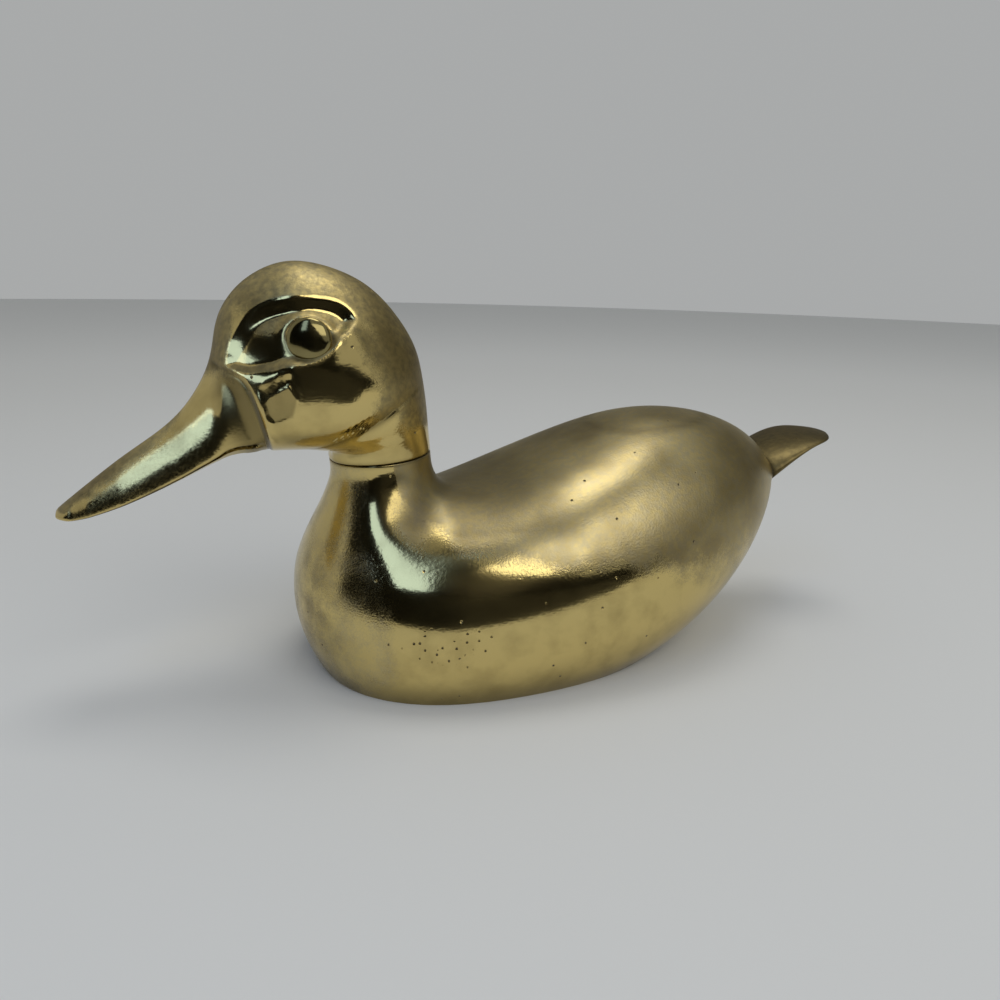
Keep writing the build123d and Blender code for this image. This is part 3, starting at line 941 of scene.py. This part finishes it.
def turnedSteel(name, values):
    material = newMaterial(name)
    tree = material.node_tree
    where = addNode(tree, "TexCoord", out="Object")
    moved = addNode(tree, "Mapping", {"Vector": where, "Location": tuple(-seam * mm)})
    rings = addNode(tree, "TexWave", {
        "wave_type": "RINGS", "rings_direction": "Z", "Vector": moved,
        "Scale": 1 / (values["ringSize"] * mm), "Distortion": values["distortion"], "Detail": 2}, "Fac")
    tone = addNode(tree, "Mix", {
        "data_type": "RGBA", 0: rings, 6: hexColour(values["dark"]), 7: hexColour(values["light"])}, 2)
    smoothest, roughest = values["roughness"]
    rough = addNode(tree, "MapRange", {"Value": rings, "To Min": smoothest, "To Max": roughest})
    shader = addNode(tree, "BsdfPrincipled", {"Metallic": 1.0, "Base Color": tone, "Roughness": rough})
    output = tree.nodes.new("ShaderNodeOutputMaterial")
    tree.links.new(shader, output.inputs["Surface"])
    return material


def dress(piece, material):
    piece.data.materials.clear()
    piece.data.materials.append(material)


# Studio: a pale floor, soft light from above, two strip lamps whose images lie on the breast and the bill,
# and cards that the polish mirrors: a dark one on the camera's side and a grey one behind

studio = {"floorRadius": 2500, "floor": "#e2e3e2", "sky": "#d4d6d6", "fill": 0.5, "shown": 0.6}
lamps = {   # direction from the aim, distance, size, watts and colour
    "farSoftbox": {"azimuth": -122, "elevation": 79, "distance": 1200, "size": (560, 500), "watts": 2.8,
                   "colour": "#fffdf8", "aim": (-20, 20, 60)},
    "nearSoftbox": {"azimuth": 102, "elevation": 43, "distance": 1200, "size": (940, 740), "watts": 3.6,
                    "colour": "#fffdf8", "aim": (0, 40, 40)},
    "strip": {"azimuth": 50, "elevation": 53, "distance": 600, "size": (108, 400), "watts": 0.3, "roll": 12,
              "colour": "#a8c8ff", "aim": (40, 10, 40)},
    "billStrip": {"azimuth": 30, "elevation": 40, "distance": 60, "size": (46, 22), "watts": 0.0067,
                  "roll": -8, "colour": "#a8c8ff", "aim": (100, 6, 66)},
}
cards = {   # each edge point: azimuth, distance of the foot, and the lowest and highest elevation
    "dark_card": {"reach": 700, "colour": "#070806", "edge": [
        (7, 700, 6, 76), (20, 700, 5, 82), (48, 650, 4, 78), (62, 420, 0, 65), (72, 300, 0, 54),
        (82, 300, 0, 43), (91, 300, 0, 34), (100, 300, 0, 24), (108, 320, 0, 16), (116, 420, 1, 13),
        (123, 600, 3, 13), (131, 700, 6, 13), (136, 700, 8, 11),
    ]},
    "grey_card": {"reach": 800, "colour": "#9c998f", "edge": [
        (146, 800, 8, 24), (160, 800, 6, 46), (300, 800, 6, 46),
    ]},
}


def direction(azimuth, elevation):
    turn, lift = math.radians(azimuth), math.radians(elevation)
    return Vector((math.cos(turn) * math.cos(lift), math.sin(turn) * math.cos(lift), math.sin(lift)))


def plainMaterial(name, colour, roughness):
    material = bpy.data.materials.new(name)
    material.use_nodes = True
    shader = material.node_tree.nodes["Principled BSDF"]
    shader.inputs["Base Color"].default_value = hexColour(colour)
    shader.inputs["Roughness"].default_value = roughness
    return material


def makeFloor():
    deselectAll()
    bpy.ops.mesh.primitive_circle_add(vertices=96, radius=studio["floorRadius"] * mm, fill_type="NGON")
    floor = bpy.context.object
    floor.name = "floor"
    dress(floor, plainMaterial("pale_floor", studio["floor"], 0.7))


def makeCard(name, values):
    # a curved card, out of the camera's sight and casting no shadow
    deselectAll()
    bpy.ops.mesh.primitive_grid_add(x_subdivisions=64, y_subdivisions=24, size=1)
    card = bpy.context.object
    card.name = name
    azimuths, feet, lows, highs = zip(*values["edge"])
    for corner in card.data.vertices:
        azimuth = partWay(azimuths[0], azimuths[-1], corner.co.x + 0.5)
        share = corner.co.y + 0.5
        low, high = np.interp(azimuth, azimuths, lows), np.interp(azimuth, azimuths, highs)
        reach = partWay(np.interp(azimuth, azimuths, feet), values["reach"], min(1, share * 2))
        corner.co = direction(azimuth, partWay(low, high, share)) * reach * mm
    dress(card, plainMaterial(name, values["colour"], 0.9))
    card.visible_camera = False
    card.visible_shadow = False
    card.visible_diffuse = False


def makeLamp(name, values):
    lamp = bpy.data.lights.new(name, "AREA")
    lamp.shape = "RECTANGLE"
    lamp.size, lamp.size_y = [length * mm for length in values["size"]]
    lamp.energy = values["watts"]
    lamp.color = hexColour(values["colour"])[:3]
    holder = bpy.data.objects.new(name, lamp)
    bpy.context.scene.collection.objects.link(holder)
    aim = Vector(values["aim"]) * mm
    holder.location = aim + direction(values["azimuth"], values["elevation"]) * values["distance"] * mm
    facing = (aim - holder.location).to_track_quat("-Z", "Y").to_matrix()
    holder.rotation_euler = (facing @ Matrix.Rotation(math.radians(values.get("roll", 0)), 3, "Z")).to_euler()
    holder.visible_camera = False
    return holder


def makeWorld():
    # the fill light, and the plain pale background that the camera and the polish see
    world = bpy.data.worlds.new("studio")
    bpy.context.scene.world = world
    world.use_nodes = True
    tree = world.node_tree
    tree.nodes.clear()
    paths = [addNode(tree, "LightPath", out=kind)
             for kind in ("Is Camera Ray", "Is Glossy Ray", "Is Transmission Ray")]
    seen = addNode(tree, "Math", {"operation": "MAXIMUM", 0: paths[0], 1: paths[1]})
    seen = addNode(tree, "Math", {"operation": "MAXIMUM", 0: seen, 1: paths[2]})
    strength = addNode(tree, "MapRange", {
        "Value": seen, "To Min": studio["fill"], "To Max": studio["shown"]})
    shader = addNode(tree, "Background", {"Color": hexColour(studio["sky"]), "Strength": strength})
    output = tree.nodes.new("ShaderNodeOutputWorld")
    tree.links.new(shader, output.inputs["Surface"])


photoView = {
    "place": (86.9, 210.2, 115.0), "yaw": 22.0, "pitch": 17.0, "roll": 1.5, "lens": 27.0, "sensor": 36.0,
}


def makeCamera():
    yaw, pitch = math.radians(photoView["yaw"]), math.radians(photoView["pitch"])
    level = Vector((-math.sin(yaw), -math.cos(yaw), 0))
    right = Vector((-math.cos(yaw), math.sin(yaw), 0))
    ahead = level * math.cos(pitch) - Vector((0, 0, math.sin(pitch)))
    up = right.cross(ahead)
    turn = Matrix.Rotation(math.radians(-photoView["roll"]), 3, ahead)
    lens = bpy.data.cameras.new("photo_view")
    lens.lens = photoView["lens"]
    lens.sensor_width = photoView["sensor"]
    lens.clip_start = 10 * mm
    camera = bpy.data.objects.new("photo_view", lens)
    bpy.context.scene.collection.objects.link(camera)
    axes = Matrix((turn @ right, turn @ up, turn @ -ahead)).transposed()
    camera.matrix_world = Matrix.Translation(Vector(photoView["place"]) * mm) @ axes.to_4x4()
    bpy.context.scene.camera = camera


bpy.context.scene.view_settings.view_transform = "Standard"
makeCamera()
makeFloor()
for name, values in cards.items():
    makeCard(name, values)
holders = {name: makeLamp(name, values) for name, values in lamps.items()}
makeWorld()
print("studio ready")

bodyFinish = brass("cast_brass", castBrass)
headFinish = brass("dulled_brass", dict(castBrass, tarnished="#9b8e66", satinRoughness=0.38))
tailFinish = brass("satin_brass", dict(
    castBrass, polished="#84754c", tarnished="#655a3c", satinRoughness=0.4, stainShare=0.5))
eyeFinish = brass("eye_brass", dict(
    castBrass, polished="#8f8458", polishedRoughness=0.12, waveHeight=0.0, rippleHeight=0.0))
steelFinish = turnedSteel("turned_steel", latheSteel)

body = makeBody()
dress(body, bodyFinish)
print("body made:", len(body.data.polygons), "faces")
head = makeHead()
dress(head, headFinish)
nearBill = bpy.data.collections.new("lit_by_bill_strip")   # the small lamp is flagged off the body
nearBill.objects.link(head)
holders["billStrip"].light_linking.receiver_collection = nearBill
print("head made:", len(head.data.polygons), "faces")
for name, node, side in (("left_eye_stud", "left_eye", 1), ("right_eye_stud", "right_eye", -1)):
    dress(makeEye(name, node, side), eyeFinish)
print("eyes made")
tail = makeTail()
dress(tail, tailFinish)
print("tail made:", len(tail.data.polygons), "faces")
for node in ("neck_screw", "flat_washer", "spring_washer"):
    dress(frame["nodes"][node], steelFinish)
